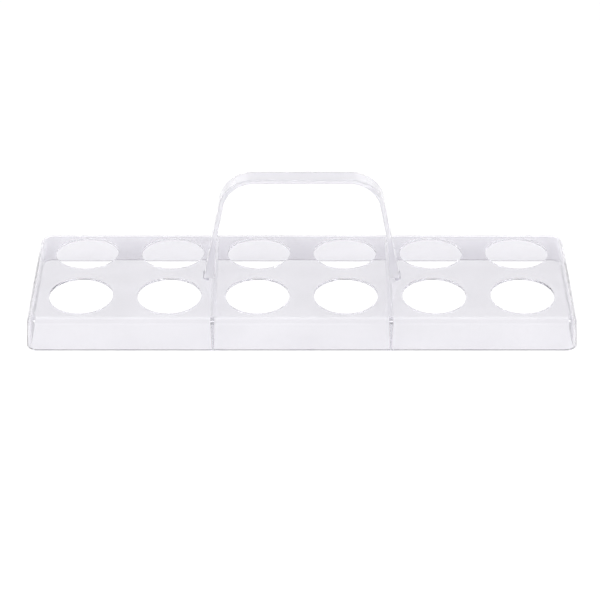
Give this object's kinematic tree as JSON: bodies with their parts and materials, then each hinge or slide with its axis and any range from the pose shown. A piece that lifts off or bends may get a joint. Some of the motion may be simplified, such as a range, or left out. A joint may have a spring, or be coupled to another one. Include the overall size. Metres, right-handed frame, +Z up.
{
  "type": "drinking glass carrier",
  "caption": "Clear plastic carrier: an open-bottomed tray whose top has round holes that drinking glasses hang in by their taper, with an arched handle snapped into its middle.",
  "frame": {"origin": "middle of the tray's footprint, at the level of the rim it stands on", "axes": "X along the row of glasses, Y from front to back, Z up"},
  "size_m": [0.502, 0.161, 0.1369],
  "materials": {
    "tray_plastic": "clear with a faint lavender tint, polished, as moulded",
    "handle_plastic": "clear with a faint lavender tint, polished, as moulded"
  },
  "bodies": {
    "root": {"glass_tray": "tray_plastic", "carry_handle": "handle_plastic"}
  },
  "joints": []
}
